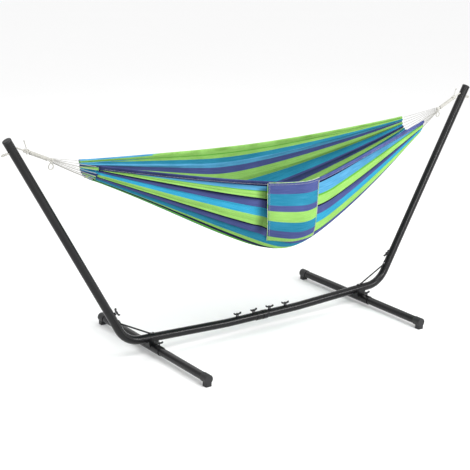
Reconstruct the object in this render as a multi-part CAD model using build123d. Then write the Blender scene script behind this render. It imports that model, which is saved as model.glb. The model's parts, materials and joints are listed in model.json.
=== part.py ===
from build123d import *
import math
import os

os.makedirs("parts", exist_ok=True)

# A cloth hammock that hangs between the two leaning poles of a tube stand.
# X runs along the hammock, Y across it and Z up. The origin is on the floor under the centre joint.

# ---- tubes -------------------------------------------------------------------------------
wall = 1.5                   # wall of every frame tube
base_od = 43.0               # bent base tubes
pole_od = 42.0               # upper poles
foot_od = 40.0               # cross feet
slip_fit = 0.1               # radial clearance of a tube end inside another tube
sleeve_fit = 0.2             # radial clearance of a foot inside its sleeve
sleeve_wall = 2.8

# ---- side view of the frame --------------------------------------------------------------
centre_gap = 3.0             # gap between the two base tubes
kink_x = 230.0               # where each base tube starts to rise
rise_deg = 2.38
kink_radius = 2200.0
corner_x = 814.0             # where the base and pole axes would cross
pole_deg = 60.93             # lean of the poles from the floor
elbow_radius = 140.0
mouth_gap = 0.3              # seam between the elbow and the shoulder of the pole
shoulder_length = 4.0        # step from the pole to its narrowed end
mouth_reach = 210.0          # crossing point to the mouth of the elbow, along the pole
pole_reach = 1197.0          # crossing point to the end of the pole tube
spigot_length = 100.0        # narrowed end of the pole inside the elbow

# ---- centre joint ------------------------------------------------------------------------
connector_length = 350.0
connector_wall = 2.5
collar_left_wall = 2.0
collar_right_wall = 2.7
collar_length = 36.0
collar_taper = 10.0
collar_lip = 0.4             # thickness left at the end of the taper

# ---- feet --------------------------------------------------------------------------------
foot_inset = 145.0           # from the corner of each elbow in to its foot
sleeve_gap = 0.1             # base tube to the sleeve that is welded under it
pad_height = 14.2            # floor to the underside of the foot caps
foot_length = 980.0
sleeve_length = 176.0
cradle_width = 42.0
cradle_length = 62.0
cap_wall = 2.2
cap_length = 44.0
pad_size = (34.0, 32.0)
pad_corner = 6.0
cap_edge = 1.8

# ---- pole caps ---------------------------------------------------------------------------
cap_fit = 0.15
cap_plug = 20.0
cap_rim = 3.0
cap_dome = 4.5
cap_overhang = 0.3
cap_plug_wall = 2.5
cap_floor = 3.0

# ---- wing screws -------------------------------------------------------------------------
screw_radius = 4.0
thread_fit = 0.05
nut_radius = 8.0
nut_height = 5.0
nut_root = 4.0               # how far a boss reaches down the side of its tube
drill_reach = 6.0            # each side of the tube's surface
tip_gap = 0.3                # screw tip to the clamped tube
hub_radius = 8.0
hub_low = 9.0                # underside of the hub above the tube
hub_high = 17.0
wing_half_span = 22.5
wing_thickness = 7.0
wing_outline = [(0, hub_low), (8, 9.5), (19, 12), (wing_half_span, 16.5), (wing_half_span - 1, 21.5),
                (18, 22), (10, 17), (0, 15.5)]
centre_screws = (51.0, 154.5)
elbow_screw_reach = 166.0
foot_screw_y = -62.0
screw_turns = {"centre_1": -2, "centre_2": 10, "centre_3": -13, "centre_4": -5,
               "elbow_left": -3, "elbow_right": -20, "foot_left": 46, "foot_right": -90}

# ---- corner braces -----------------------------------------------------------------------
rod_radius = 4.0
tab_length = 30.0
tab_width = 15.0
tab_thickness = 3.0
tab_corner = 4.0
tab_sink = 0.4               # how deep a rod's end lies in its flattened tab
brace_low_reach = 142.0      # from the corner in to the lower tab
brace_high_reach = 112.0
brace_screw_radius = 2.5
screw_fit = 0.1
screw_head_radius = 4.6
screw_head_height = 2.4
screw_head_edge = 1.6

# ---- hanging ropes -----------------------------------------------------------------------
rope_radius = 4.0
rope_hole_radius = 5.0
rope_fit = 0.1               # radial clearance of the rope in its knots
hole_from_end = 49.0         # end of the pole tube to the rope hole
hang_drop_deg = 24.6         # slope of the pull from the hole to the cloth
hinge_gap = 2.4              # from the swing axis to the rope on either side of it
tie_knot_at = 52.0           # places along the pull, from the swing axis
neck_from = 66.0
neck_to = 162.0
clew_knot_at = 178.0
tie_knot_radius = 13.0
neck_radius = 9.5
clew_knot_radius = 14.0
clew_knot_half = 12.0
loop_major = 11.0
loop_minor = 3.2
loop_gap = 0.2
bight_sink = 2.5             # how far the outer loop's rope runs into the stopper rope
knot_slimness = 0.6          # end radius of a knot over its middle radius
tail_radius = 2.6
clew_count = 16
clew_radius = 1.35
clew_sag = 2.5
fan_half_width = 11.0        # the cords' places on the clew knot
fan_half_height = 10.0
tie_tail_offsets = [(2.0, -1.0, 14.0), (6.0, -2.0, 31.0), (12.5, -3.0, 47.0)]   # from the tie knot

# ---- cloth bed ---------------------------------------------------------------------------
bed_half_length = 1000.0
bed_thickness = 4.0
bed_half_width = 342.0       # at the middle
bed_end_half_width = 70.0
hem_end_drop = 112.6         # heights below the swing axis
hem_middle_drop = 236.6
bottom_end_drop = 182.6
bottom_middle_drop = 662.6
section_power = 3.0          # 2 is an ellipse, more is boxier
spread_power = 0.964         # how the width, the hem and the bottom run from middle to end
hem_power = 1.156
bottom_power = 1.124
hem_rounding = 0.08
bottom_rounding = 0.1
bed_stations = 13
section_points = 15
length_steps = 400

# ---- pocket ------------------------------------------------------------------------------
pocket_x = (-217.0, 66.0)
pocket_drop = 310.0
pocket_start = 6.0           # below the hem
pocket_bulge = 26.0
pocket_cloth = 2.4
pocket_seam_gap = 0.4
pocket_mouth_open = 0.55     # share of the bulge at the mouth
pocket_fill = 0.8            # growth of the bulge towards the bottom
pocket_side_power = 0.7
pocket_base_power = 5
pocket_stations = 9
pocket_rows = 9

# ---- worked-out places -------------------------------------------------------------------
base_r = base_od / 2
pole_r = pole_od / 2
foot_r = foot_od / 2
base_bore = base_r - wall
sleeve_r = foot_r + sleeve_fit + sleeve_wall
rise = math.radians(rise_deg)
lean = math.radians(pole_deg)
foot_x = corner_x - foot_inset
foot_height = pad_height + cap_wall + foot_r
foot_to_base = (sleeve_r + base_r + sleeve_gap) / math.cos(rise)
base_height = foot_height + foot_to_base - (foot_x - kink_x) * math.tan(rise)
corner = Vector(corner_x, 0, base_height + (corner_x - kink_x) * math.tan(rise))
base_dir = Vector(math.cos(rise), 0, math.sin(rise))
pole_dir = Vector(math.cos(lean), 0, math.sin(lean))
pole_in = Vector(-math.sin(lean), 0, math.cos(lean))
rope_hole = corner + pole_dir * (pole_reach - hole_from_end)
swing_point = rope_hole + pole_in * (pole_r + rope_radius * 0.5)
pull = Vector(-math.cos(math.radians(hang_drop_deg)), 0, -math.sin(math.radians(hang_drop_deg)))


def base_axis_z(x):
    """Height of the base tube's axis past the kink."""
    return base_height + (x - kink_x) * math.tan(rise)


def rod(start, end, radius):
    """A round bar between two points."""
    plane = Plane(origin=start, z_dir=end - start)
    return extrude(plane * Circle(radius), (end - start).length)


def pipe(start, end, outer, inner):
    """A straight tube between two points."""
    plane = Plane(origin=start, z_dir=end - start)
    return extrude(plane * (Circle(outer) - Circle(inner)), (end - start).length)


def to_left(solid):
    """The left-hand twin of a right-hand piece."""
    return mirror(solid, about=Plane.YZ)


def save(name, shape):
    shape.label = name
    export_step(shape, f"parts/{name}.step")


def save_pair(name, solid, ends=("_left", "_right")):
    save(name + ends[0], to_left(solid))
    save(name + ends[1], solid)


# ---- frame -------------------------------------------------------------------------------
def screw_places():
    """Each wing screw: name, point on the tube's axis, outward direction, tube direction, radii."""
    places = []
    bore_part = base_bore - slip_fit
    for number, x in enumerate((-centre_screws[1], -centre_screws[0], *centre_screws), start=1):
        at = Vector(x, 0, base_height)
        places.append((f"centre_{number}", at, Vector(0, 0, 1), Vector(1, 0, 0), base_r, bore_part))
    for side, hand in (("left", -1), ("right", 1)):
        at = corner + pole_dir * elbow_screw_reach
        at = Vector(hand * at.X, 0, at.Z)
        out = Vector(hand * pole_in.X, 0, pole_in.Z)
        along = Vector(hand * pole_dir.X, 0, pole_dir.Z)
        places.append((f"elbow_{side}", at, out, along, base_r, bore_part))
        at = Vector(hand * foot_x, foot_screw_y, foot_height)
        places.append((f"foot_{side}", at, Vector(0, 0, 1), Vector(0, 1, 0), sleeve_r, foot_r))
    return places


def drill(solid, names):
    """Clearance holes for the wing screws whose names start with one of the given words."""
    for name, at, out, _along, outer, _inner in screw_places():
        if name.startswith(names):
            low, high = at + out * (outer - drill_reach), at + out * (outer + drill_reach)
            solid -= rod(low, high, screw_radius + thread_fit)
    return solid


def base_tube():
    """Half of the base with its elbow, open at both ends."""
    start = Vector(centre_gap / 2, 0, base_height)
    mouth = corner + pole_dir * mouth_reach
    path = FilletPolyline(start, Vector(kink_x, 0, base_height), corner, mouth,
                          radius=[kink_radius, elbow_radius])
    ring = Plane(origin=start, z_dir=Vector(1, 0, 0)) * (Circle(base_r) - Circle(base_bore))
    return sweep(ring, path=path)


def upper_pole():
    """The leaning pole: a narrowed end sits in the elbow, and a rope hole goes through the top."""
    shoulder = corner + pole_dir * (mouth_reach + mouth_gap)
    step_end = shoulder + pole_dir * shoulder_length
    low = corner + pole_dir * (mouth_reach - spigot_length)
    top = corner + pole_dir * pole_reach
    spigot_r = base_bore - slip_fit
    tube = pipe(shoulder, top, pole_r, pole_r - wall)
    tube += pipe(low, step_end, spigot_r, spigot_r - wall)
    tube += pipe(shoulder, step_end, max(pole_r, spigot_r), min(pole_r, spigot_r) - wall)
    hole = rod(rope_hole - pole_in * pole_od, rope_hole + pole_in * pole_od, rope_hole_radius)
    return tube - hole


def pole_cap():
    """A domed plug in the top of the pole."""
    plug_r = pole_r - wall - cap_fit
    start = corner + pole_dir * (pole_reach - cap_plug)
    body = rod(start, start + pole_dir * cap_plug, plug_r)
    body -= rod(start, start + pole_dir * (cap_plug - cap_floor), plug_r - cap_plug_wall)
    rim_plane = Plane(origin=start + pole_dir * cap_plug, z_dir=pole_dir)
    rim = extrude(rim_plane * Circle(pole_r + cap_overhang), cap_rim + cap_dome)
    rim = fillet(rim.edges().filter_by(GeomType.CIRCLE).group_by(Axis(start, pole_dir))[-1], cap_dome)
    return body + rim


def collar(direction, thickness, taper):
    """A reinforcing ring around the inner end of a base tube."""
    outer = base_r + thickness
    start = Vector(direction * centre_gap / 2, 0, base_height)
    end = start + Vector(direction * (collar_length - taper), 0, 0)
    ring = pipe(start, end, outer, base_r)
    if taper:
        outline_plane = Plane(origin=end, x_dir=(direction, 0, 0), z_dir=(0, -direction, 0))
        points = [(0, base_r), (0, outer), (taper, base_r + collar_lip), (taper, base_r)]
        cone = revolve(outline_plane * make_face(Polyline(*points, close=True)), Axis(end, (1, 0, 0)))
        ring += cone
    return ring


def foot_bracket():
    """A sleeve for the foot, with a cradle that is welded to the base tube."""
    middle = Vector(foot_x, 0, foot_height)
    half_sleeve = Vector(0, sleeve_length / 2, 0)
    top = base_axis_z(foot_x)
    outline = Polyline((foot_x - sleeve_r, foot_height), (foot_x + sleeve_r, foot_height),
                       (foot_x + cradle_length / 2, top), (foot_x - cradle_length / 2, top), close=True)
    bracket = rod(middle - half_sleeve, middle + half_sleeve, sleeve_r)
    bracket += extrude(Plane.XZ * make_face(outline), cradle_width / 2, both=True)
    tube_axis = Vector(foot_x, 0, top)
    bracket -= rod(tube_axis - base_dir * cradle_length, tube_axis + base_dir * cradle_length, base_r)
    bracket -= rod(middle - half_sleeve, middle + half_sleeve, foot_r + sleeve_fit)
    return bracket


def foot_tube():
    half = Vector(0, foot_length / 2, 0)
    middle = Vector(foot_x, 0, foot_height)
    return pipe(middle - half, middle + half, foot_r, foot_r - wall)


def foot_cap(hand, end):
    """A cup over the end of a foot, with a flat pad that stands on the floor."""
    face = Vector(hand * foot_x, end * foot_length / 2, foot_height)
    out = Vector(0, end, 0)
    outer = foot_r + cap_wall
    cup = rod(face - out * cap_length, face + out * cap_wall, outer)
    rims = cup.edges().filter_by(GeomType.CIRCLE).sort_by(Axis.Y)
    cup = fillet(rims[-1] if end > 0 else rims[0], cap_edge)
    pad_y = face.Y - end * (pad_size[1] / 2 - cap_wall)
    pad = Pos(face.X, pad_y, foot_height / 2) * Box(*pad_size, foot_height)
    pad = fillet(pad.edges().filter_by(Axis.Z), pad_corner)
    return cup + pad - rod(face - out * cap_length, face, foot_r)


def brace_places():
    """Where each end of the brace lies: point on the tube, direction towards the bend, outward normal."""
    base_up = Vector(-base_dir.Z, 0, base_dir.X)
    low_x = corner_x - brace_low_reach
    low = Vector(low_x, 0, base_axis_z(low_x)) + base_up * base_r
    high = corner + pole_dir * brace_high_reach + pole_in * base_r
    return (low, base_dir, base_up), (high, pole_dir * -1, pole_in)


def corner_brace():
    """A thin rod across the inside of the elbow, with flattened ends."""
    tabs = []
    ends = []
    for on, to_bend, normal in brace_places():
        plane = Plane(origin=on, x_dir=to_bend, z_dir=normal)
        tab = extrude(plane * RectangleRounded(tab_length, tab_width, tab_corner), tab_thickness)
        tabs.append(tab - extrude(plane * Circle(brace_screw_radius + screw_fit), tab_thickness))
        ends.append(on + to_bend * (tab_length / 2 - rod_radius) + normal * (tab_thickness - tab_sink))
    bar = rod(ends[0], ends[1], rod_radius)
    for on, to_bend, normal in brace_places():
        plane = Plane(origin=on, x_dir=to_bend, z_dir=normal)
        bar -= extrude(plane * Rectangle(4 * tab_length, 4 * tab_width), -4 * rod_radius)
    return tabs[0] + bar + tabs[1]


def brace_screws():
    """Four small screws that hold the braces' flattened ends."""
    solids = []
    for on, _to_bend, normal in brace_places():
        head_from = on + normal * tab_thickness
        head = rod(head_from, head_from + normal * screw_head_height, screw_head_radius)
        rim = head.edges().filter_by(GeomType.CIRCLE).group_by(Axis(on, normal))[-1]
        head = fillet(rim, screw_head_edge)
        screw = rod(on, head_from, brace_screw_radius) + head
        solids += [screw, to_left(screw)]
    return Compound(children=solids)


# ---- wing screws -------------------------------------------------------------------------
def weld_nut(at, out, along, outer):
    """A round threaded boss on a tube, shaped to sit on it."""
    boss = rod(at + out * (outer - nut_root), at + out * (outer + nut_height), nut_radius)
    boss -= rod(at - along * 2 * nut_radius, at + along * 2 * nut_radius, outer)
    boss -= rod(at, at + out * (outer + nut_height), screw_radius + thread_fit)
    return boss


def screw_stud(at, out, outer, inner):
    return rod(at + out * (inner + tip_gap), at + out * (outer + hub_low), screw_radius)


def wing_head(at, out, along, outer, turn):
    """A moulded two-wing head on the end of its stud."""
    side = along.rotate(Axis((0, 0, 0), out), turn)
    plane = Plane(origin=at + out * outer, x_dir=side, z_dir=side.cross(out))
    outline = wing_outline + [(-x, y) for x, y in wing_outline[-2:0:-1]]
    wings = extrude(plane * make_face(Polyline(*outline, close=True)), wing_thickness / 2, both=True)
    hub = rod(at + out * (outer + hub_low), at + out * (outer + hub_high), hub_radius)
    return wings + hub


# ---- ropes -------------------------------------------------------------------------------
def anchor_knot():
    """Rope through the pole's hole, with a small knotted loop outside that stops it."""
    outside = rope_hole - pole_in * (pole_r + rope_radius)
    inside = swing_point - pole_in * hinge_gap
    rope = rod(outside, inside, rope_radius)
    ring_centre = rope_hole - pole_in * (pole_r + bight_sink + loop_major + rope_radius)
    ring = Plane(origin=ring_centre, x_dir=pole_in, z_dir=Vector(0, 1, 0)) * Torus(loop_major, rope_radius)
    return rope + ring


def on_pull(along):
    return swing_point + pull * along


def tie_rope():
    """The rope from the swing axis to the clew knot, through the tie knot and the neck."""
    return rod(on_pull(hinge_gap), on_pull(clew_knot_at), rope_radius)


def threaded(solid):
    """A piece on the tie rope, bored for it."""
    return solid - rod(on_pull(0), on_pull(clew_knot_at), rope_radius + rope_fit)


def knot(centre, direction, radius, half_length):
    """A closed round shape of a knot's size, turned about its rope."""
    start = centre - direction * half_length
    slim = radius * knot_slimness
    plane = Plane(origin=start, z_dir=direction)
    lower = loft([plane * Circle(slim), plane.offset(half_length) * Circle(radius)])
    upper = loft([plane.offset(half_length) * Circle(radius), plane.offset(2 * half_length) * Circle(slim)])
    return lower + upper


def corner_radii(points):
    """Radius of each corner's arc: 0.45 of the shorter run, over the tangent of half the turn."""
    radii = []
    for before, at, after in zip(points, points[1:], points[2:]):
        run_in, run_out = Vector(at) - Vector(before), Vector(after) - Vector(at)
        half_turn = math.radians(run_in.get_angle(run_out)) / 2
        radii.append(0.45 * min(run_in.length, run_out.length) / math.tan(half_turn))
    return radii


def cord(name, points, radius):
    """A round cord of straight runs joined by tangent arcs."""
    radii = corner_radii(points)
    path = FilletPolyline(*points, radius=radii)
    start = Plane(origin=path @ 0, z_dir=path % 0)
    solid = sweep(start * Circle(radius), path=path)
    expected = math.pi * radius**2 * path.length
    print(f"{name}: length {path.length:.1f}, radii {[round(r) for r in radii]},"
          f" volume ratio {solid.volume / expected:.4f}")
    return solid


def measured_section(end_angle, half_width, top_z, bottom_z):
    """Points of the cross-section's curve down from the near hem, and how far along it each lies."""
    points = []
    for i in range(length_steps + 1):
        points.append(section_point(end_angle * i / length_steps, half_width, top_z, bottom_z))
    lengths = [0.0]
    for a, b in zip(points, points[1:]):
        lengths.append(lengths[-1] + math.dist(a, b))
    return points, lengths


def u_point(share, half_width, top_z, bottom_z):
    """A point on a U-shaped edge, share 0 at the near top and 1 at the far top, evenly along it."""
    points, lengths = measured_section(math.pi, half_width, top_z, bottom_z)
    target = share * lengths[-1]
    for i in range(length_steps):
        if lengths[i + 1] >= target:
            part = (target - lengths[i]) / (lengths[i + 1] - lengths[i])
            return tuple(p + part * (q - p) for p, q in zip(points[i], points[i + 1]))
    return points[-1]


def clew_routes():
    """Three points for each cord of the fan, from the clew knot to the end of the cloth."""
    routes = []
    fan_start = on_pull(clew_knot_at + clew_knot_half)
    for number in range(clew_count):
        share = number / (clew_count - 1)
        y0, z0 = u_point(share, fan_half_width, fan_start.Z + fan_half_height,
                         fan_start.Z - fan_half_height)
        y1, z1 = u_point(share, *bed_section(bed_half_length))
        start = (fan_start.X, y0, z0)
        end = (bed_half_length + clew_radius, y1, z1)
        middle = tuple((a + b) / 2 for a, b in zip(start, end))
        routes.append([start, (middle[0], middle[1], middle[2] - clew_sag), end])
    return routes


# ---- cloth -------------------------------------------------------------------------------
def section_point(angle, half_width, top_z, bottom_z):
    """A point of the cross-section's curve in (y, z), from the near hem through the bottom."""
    c = math.cos(angle)
    s = math.sin(angle)
    power = 2 / section_power
    y = -math.copysign(abs(c) ** power, c) * half_width
    return y, top_z - (top_z - bottom_z) * abs(s) ** power


def softened(share, rounding):
    """0 at the middle and 1 at the end, with a rounded middle."""
    full = math.sqrt(1 + rounding**2) - rounding
    return (math.sqrt(share**2 + rounding**2) - rounding) / full


def bed_section(x):
    """Half width, hem height and bottom height of the cloth at x."""
    share = min(abs(x) / bed_half_length, 1.0)
    hem_share = softened(share, hem_rounding)
    spread = max(1 - hem_share, 0.0) ** spread_power
    half_width = bed_end_half_width + (bed_half_width - bed_end_half_width) * spread
    hem_drop = hem_middle_drop + (hem_end_drop - hem_middle_drop) * hem_share**hem_power
    bottom_share = softened(share, bottom_rounding)
    bottom_drop = bottom_middle_drop + (bottom_end_drop - bottom_middle_drop) * bottom_share**bottom_power
    return half_width, swing_point.Z - hem_drop, swing_point.Z - bottom_drop


def strip_face(x, outer, inner):
    """A thin closed face at x between two curves of (y, z) points."""
    outer = [Vector(x, y, z) for y, z in outer]
    inner = [Vector(x, y, z) for y, z in inner]
    edges = [Spline(*outer), Line(outer[-1], inner[-1]), Spline(*reversed(inner)), Line(inner[0], outer[0])]
    return make_face(edges)


def hammock_bed():
    """The cloth as one thin trough, wide in the middle and gathered at its ends."""
    faces = []
    half = bed_thickness / 2
    for i in range(bed_stations):
        x = bed_half_length * (2 * i / (bed_stations - 1) - 1)
        half_width, top_z, low_z = bed_section(x)
        curves = []
        for grow in (half, -half):
            angles = [math.pi * k / (section_points - 1) for k in range(section_points)]
            curves.append([section_point(a, half_width + grow, top_z, low_z - grow) for a in angles])
        faces.append(strip_face(x, *curves))
    return loft(faces)


def pocket_gap(across, down):
    """Room between the bed and the pocket's cloth, shares across its width and down its height."""
    fullness = math.sin(math.pi * across) ** pocket_side_power
    profile = (pocket_mouth_open + pocket_fill * down) * (1 - down**pocket_base_power)
    return pocket_seam_gap + pocket_bulge * fullness * max(profile, 0.0)


def pocket():
    """A patch of cloth on the near side, sewn on three edges and open at the top."""
    faces = []
    for i in range(pocket_stations):
        across = i / (pocket_stations - 1)
        x = pocket_x[0] + (pocket_x[1] - pocket_x[0]) * across
        half_width, top_z, low_z = bed_section(x)
        half = bed_thickness / 2
        points, lengths = measured_section(math.pi / 2, half_width + half, top_z, low_z - half)
        outer, inner = [], []
        for row in range(pocket_rows):
            down = row / (pocket_rows - 1)
            target = pocket_start + pocket_drop * down
            k = next(n for n, length in enumerate(lengths) if length >= target)
            (y0, z0), (y1, z1) = points[k - 1], points[k + 1]
            run = math.hypot(y1 - y0, z1 - z0)
            normal = ((z1 - z0) / run, -(y1 - y0) / run)
            gap = pocket_gap(across, down)
            inner.append((points[k][0] + normal[0] * gap, points[k][1] + normal[1] * gap))
            gap += pocket_cloth
            outer.append((points[k][0] + normal[0] * gap, points[k][1] + normal[1] * gap))
        faces.append(strip_face(x, outer, inner))
    return loft(faces)


# ---- write the parts ---------------------------------------------------------------------
tube = base_tube()
save("base_tube_right", drill(tube, ("centre_3", "centre_4", "elbow_right")))
save("base_tube_left", drill(to_left(tube), ("centre_1", "centre_2", "elbow_left")))
half_connector = Vector(connector_length / 2, 0, 0)
centre = Vector(0, 0, base_height)
connector_r = base_bore - slip_fit
save("centre_connector", pipe(centre - half_connector, centre + half_connector, connector_r,
                              connector_r - connector_wall))
save("centre_collar_left", collar(-1, collar_left_wall, 0))
save("centre_collar_right", collar(1, collar_right_wall, collar_taper))
save_pair("upper_pole", upper_pole())
save_pair("pole_cap", pole_cap())
bracket = foot_bracket()
save("foot_bracket_right", drill(bracket, ("foot_right",)))
save("foot_bracket_left", drill(to_left(bracket), ("foot_left",)))
save_pair("foot_tube", foot_tube())
for side, hand in (("left", -1), ("right", 1)):
    for place, end in (("near", -1), ("far", 1)):
        save(f"foot_cap_{side}_{place}", foot_cap(hand, end))
save_pair("corner_brace", corner_brace())
save("brace_screws", brace_screws())

nuts = []
for name, at, out, along, outer, inner in screw_places():
    nuts.append(weld_nut(at, out, along, outer))
    save(f"screw_stud_{name}", screw_stud(at, out, outer, inner))
    save(f"wing_head_{name}", wing_head(at, out, along, outer, screw_turns[name]))
save("weld_nuts", Compound(children=nuts))

save_pair("anchor_knot", anchor_knot())
save_pair("tie_rope", tie_rope())
save_pair("tie_knot", threaded(knot(on_pull(tie_knot_at), pull, tie_knot_radius, tie_knot_radius)))
save_pair("rope_neck", threaded(rod(on_pull(neck_from), on_pull(neck_to), neck_radius)))
save_pair("clew_knot", threaded(knot(on_pull(clew_knot_at), pull, clew_knot_radius, clew_knot_half)))
tie_tail_points = [tuple(on_pull(tie_knot_at) + Vector(*offset)) for offset in tie_tail_offsets]
save_pair("tie_tail", cord("tie_tail", tie_tail_points, tail_radius))
clews = [cord(f"clew_{n + 1}", route, clew_radius) for n, route in enumerate(clew_routes())]
save("clew_cords_right", Compound(children=clews))
save("clew_cords_left", Compound(children=[to_left(c) for c in clews]))
loop_drop = clew_knot_radius + loop_major + loop_minor + loop_gap
loop_centre = on_pull(clew_knot_at) - Vector(0, 0, loop_drop)
save_pair("clew_loop", Plane(origin=loop_centre, z_dir=Vector(0, 1, 0)) * Torus(loop_major, loop_minor))
save("hammock_bed", hammock_bed())
save("pocket", pocket())
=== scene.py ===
import json
import math
import random

import bmesh
import bpy
from bpy.props import FloatProperty, FloatVectorProperty, IntProperty, PointerProperty
from mathutils import Matrix, Quaternion, Vector


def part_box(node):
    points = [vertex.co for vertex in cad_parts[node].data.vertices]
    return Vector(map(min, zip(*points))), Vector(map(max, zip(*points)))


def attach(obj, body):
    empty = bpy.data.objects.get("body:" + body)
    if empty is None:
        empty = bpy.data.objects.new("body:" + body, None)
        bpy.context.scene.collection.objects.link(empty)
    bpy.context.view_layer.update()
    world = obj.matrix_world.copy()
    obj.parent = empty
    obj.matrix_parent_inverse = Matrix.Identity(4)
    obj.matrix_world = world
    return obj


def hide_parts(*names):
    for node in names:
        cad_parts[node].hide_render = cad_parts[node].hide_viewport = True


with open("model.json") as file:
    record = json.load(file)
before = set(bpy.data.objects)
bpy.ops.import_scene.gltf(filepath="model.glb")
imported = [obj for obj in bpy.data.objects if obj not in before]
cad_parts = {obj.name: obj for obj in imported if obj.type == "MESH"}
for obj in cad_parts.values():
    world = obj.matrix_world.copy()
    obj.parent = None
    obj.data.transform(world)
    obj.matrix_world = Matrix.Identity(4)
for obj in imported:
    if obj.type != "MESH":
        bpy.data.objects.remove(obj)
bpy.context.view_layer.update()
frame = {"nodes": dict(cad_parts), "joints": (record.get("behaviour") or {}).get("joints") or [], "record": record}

bl_info = {
    "name": "Striped Hammock on a Stand",
    "version": (1, 0, 0),
    "blender": (4, 5, 0),
    "location": "3D View > Sidebar > Hammock",
    "description": "Builds the cloth, the ropes and the finishes of a striped hammock around its steel stand",
    "category": "Object",
}

SIDES = (("left", -1), ("right", 1))
NODES = frame["nodes"]
JOINTS = {joint["name"]: joint for joint in frame["joints"]}

# ---- places and sizes, in metres and radians ---------------------------------------------------
SWING_HEIGHT = JOINTS["hammock_swing"]["pos_m"][2]
SWING_REACH = 1.35169                   # from the middle out to the swing axis's end at each pole
BED_HALF_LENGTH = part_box("hammock_bed")[1].x
PULL_SLOPE = math.radians(24.6)         # of each tie rope, down from the swing axis
POLE_LEAN = math.radians(60.93)         # of each pole, up from the floor
POLE_RADIUS = 0.021
TIE_KNOT_AT = 0.052                     # this and the next four are measured along the tie rope
NECK_SPAN = (0.066, 0.162)
CLEW_KNOT_AT = 0.178
TIE_ROPE_AT = (0.0, 0.085, CLEW_KNOT_AT)
FAN_START_AT = 0.190
CLEW_COUNT = 16
SHORTEST = 1e-9                         # keeps a division by a length from failing


def props():
    """The user's sizes and colours."""
    scene = bpy.context.scene
    return scene.hammock_sizes, scene.hammock_colours


def size(name, text, default):
    """A size that can be changed in the sidebar."""
    return FloatProperty(name=name, description=text, default=default, min=0.0, subtype="DISTANCE",
                         unit="LENGTH", precision=4)


def colour(name, text, default):
    """A colour that can be changed in the sidebar."""
    return FloatVectorProperty(name=name, description=text, default=default, size=3, min=0.0, max=1.0,
                               subtype="COLOR")


class HammockSizes(bpy.types.PropertyGroup):
    """Sizes that a user would change."""

    rope_diameter: size("Rope", "Diameter of the tie rope", 0.008)
    clew_diameter: size("Clew cord", "Diameter of each cord of the fan", 0.0027)
    tail_diameter: size("Rope tail", "Diameter of the short tail on the tie knot", 0.0052)
    cloth_thickness: size("Cloth", "Thickness of the striped cloth", 0.0016)
    hem_width: size("Hem", "Width of the sewn hems", 0.016)
    hem_roll: size("Hem roll", "Radius of the roll at the top of each long hem", 0.0042)
    pleat_depth: size("Pleat depth", "Depth of the overlapping pleats on the near side", 0.007)
    stitch: size("Stitch", "Spacing of the stitches", 0.0065)
    wing_rounding: size("Wing rounding", "Rounding of the wing screws' moulded edges", 0.0014)
    fold_depth_middle: size("Fold depth, middle", "Depth of the cloth's folds at its middle", 0.003)
    fold_depth_half: size("Fold depth, halfway", "Depth of the folds halfway to each end", 0.013)
    fold_depth_end: size("Fold depth, ends", "Depth of the folds at the gathered ends", 0.011)
    pocket_lean: size("Pocket lean", "How far the pocket's lower edge is shifted along the cloth", 0.034)
    hem_tilt: FloatProperty(name="Hem tilt", description="How much lower the near hem hangs, as a slope",
                            default=0.045)
    fold_count: IntProperty(name="Folds", description="Folds across the cloth", default=15, min=4)
    pocket_bulge: size("Pocket bulge", "How far the pocket stands off the cloth", 0.024)


class HammockColours(bpy.types.PropertyGroup):
    """Colours that a user would change."""

    lime: colour("Lime", "Lime stripes", (0.225, 0.475, 0.085))
    green: colour("Green", "Narrow green stripes", (0.087, 0.331, 0.0261))
    teal: colour("Teal", "Teal stripes", (0.00348, 0.183, 0.304))
    cyan: colour("Cyan", "Bright blue stripes", (0.00174, 0.261, 0.435))
    sky: colour("Sky", "Light blue stripes", (0.0478, 0.27, 0.479))
    purple: colour("Purple", "Purple stripes", (0.0505, 0.0679, 0.213))
    navy: colour("Navy", "Dark blue stripes", (0.0122, 0.0157, 0.0609))
    # Painted shade: thin dark lines woven into the stripes under the near side's pleats and hem roll.
    painted_shade_line: colour("Ink", "Thin dark lines between stripes", (0.008, 0.010, 0.034))
    rope: colour("Rope", "Cotton rope and stitching", (0.49, 0.483, 0.448))
    trim: colour("Trim", "Pale edging of the pocket", (0.62, 0.74, 0.42))
    powder_coat: colour("Powder coat", "The stand's coating", (0.006, 0.006, 0.0065))
    plastic: colour("Plastic", "Caps and screw heads", (0.010, 0.010, 0.011))
    zinc: colour("Zinc", "Bare screws", (0.42, 0.42, 0.44))
    floor: colour("Floor", "The studio floor", (0.95, 0.95, 0.95))


# ---- small helpers ----------------------------------------------------------------------------
def swing_point(hand):
    """The end of the swing axis, in the hole of one pole."""
    return Vector((hand * SWING_REACH, 0, SWING_HEIGHT))


def pull_direction(hand):
    """The way that one tie rope runs, from its pole towards the cloth."""
    return Vector((-hand * math.cos(PULL_SLOPE), 0, -math.sin(PULL_SLOPE)))


def on_pull(hand, along):
    """A place on one tie rope, measured from the swing axis."""
    return swing_point(hand) + pull_direction(hand) * along


def pole_inward(hand):
    """The direction square to one pole, towards the hammock."""
    return Vector((-hand * math.sin(POLE_LEAN), 0, math.cos(POLE_LEAN)))


def eased(value, start, end):
    """0 before the start, 1 past the end, and a smooth rise between them."""
    share = min(max((value - start) / (end - start), 0.0), 1.0)
    return share * share * (3 - 2 * share)


def link(name, data, material, body):
    """A new piece that rides on a body, with the given finish."""
    piece = bpy.data.objects.new(name, data)
    bpy.context.scene.collection.objects.link(piece)
    data.materials.append(material)
    for face in data.polygons:
        face.use_smooth = True
    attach(piece, body)
    return piece


def rope_piece(name, mesh, replaced=None, body="hammock", look="cotton_rope"):
    """A new piece of cotton rope, which may stand for a solid of the frame."""
    piece = link(name, mesh, finish(look), body)
    if replaced:
        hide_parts(replaced)
    return piece


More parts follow.
